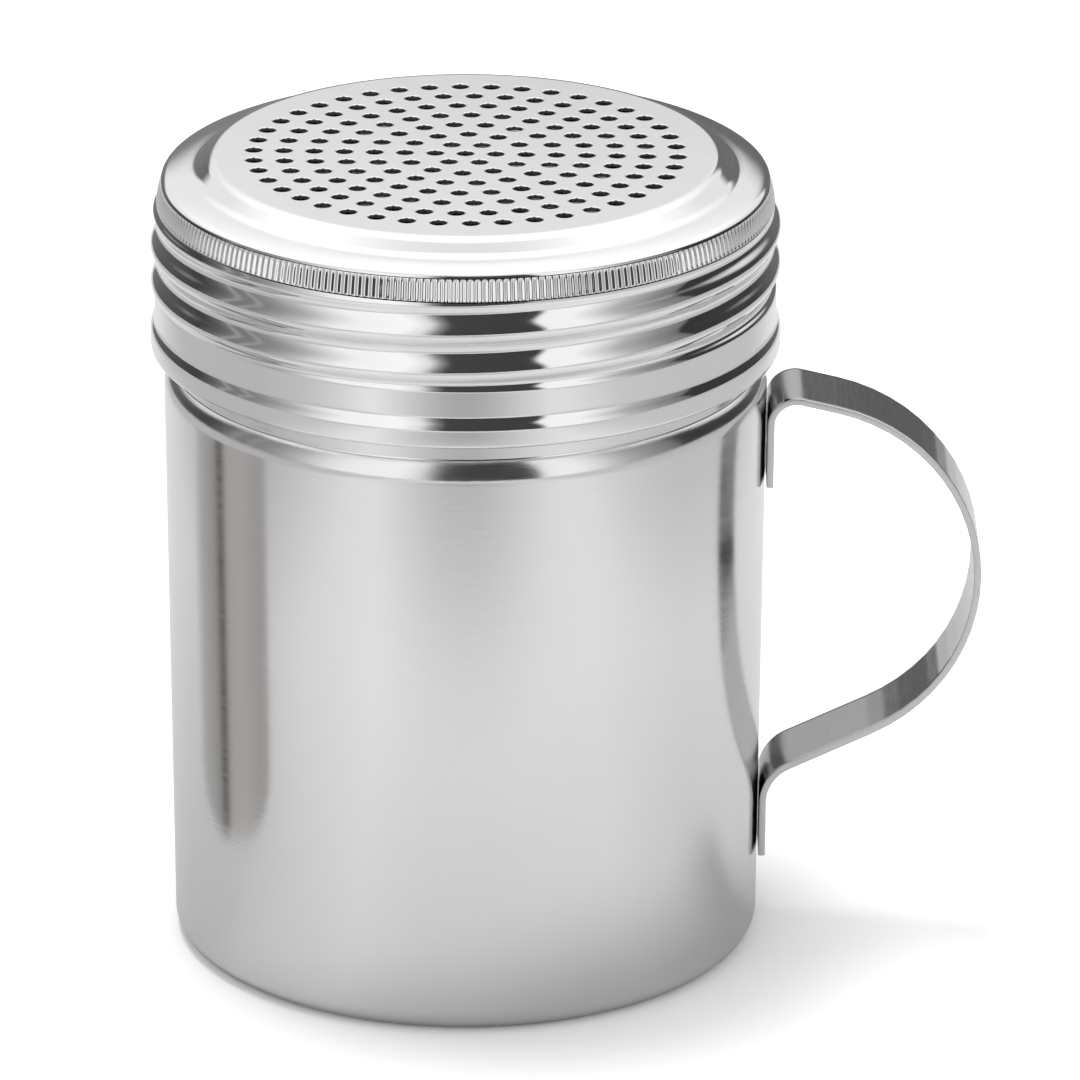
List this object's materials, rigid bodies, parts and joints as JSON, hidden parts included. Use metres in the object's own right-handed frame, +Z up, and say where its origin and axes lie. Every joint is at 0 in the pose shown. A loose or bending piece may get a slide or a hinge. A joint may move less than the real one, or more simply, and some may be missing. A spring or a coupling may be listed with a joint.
{
  "type": "restaurant spice shaker dispenser",
  "caption": "Stainless steel spice shaker: a drawn cup with a welded strap handle and a raised, perforated screw lid that lifts off for filling.",
  "frame": {"origin": "centre of the cup's flat base, on the surface it stands on", "axes": "+Z up along the cup's axis, +X from the axis towards the handle"},
  "size_m": [0.0966, 0.0728, 0.0953],
  "materials": {
    "cup_steel": "satin polished stainless steel",
    "lid_steel": "bright satin stainless steel",
    "handle_steel": "satin stainless steel strip with tumbled edges"
  },
  "bodies": {
    "cup": {"cup_body": "cup_steel", "handle_strap": "handle_steel"},
    "lid": {"screw_lid": "lid_steel"}
  },
  "joints": [
    {"name": "lid_lift", "type": "slide", "parent": "cup", "child": "lid", "axis": [0, 0, 1], "range_m": [0, 0.03]}
  ]
}
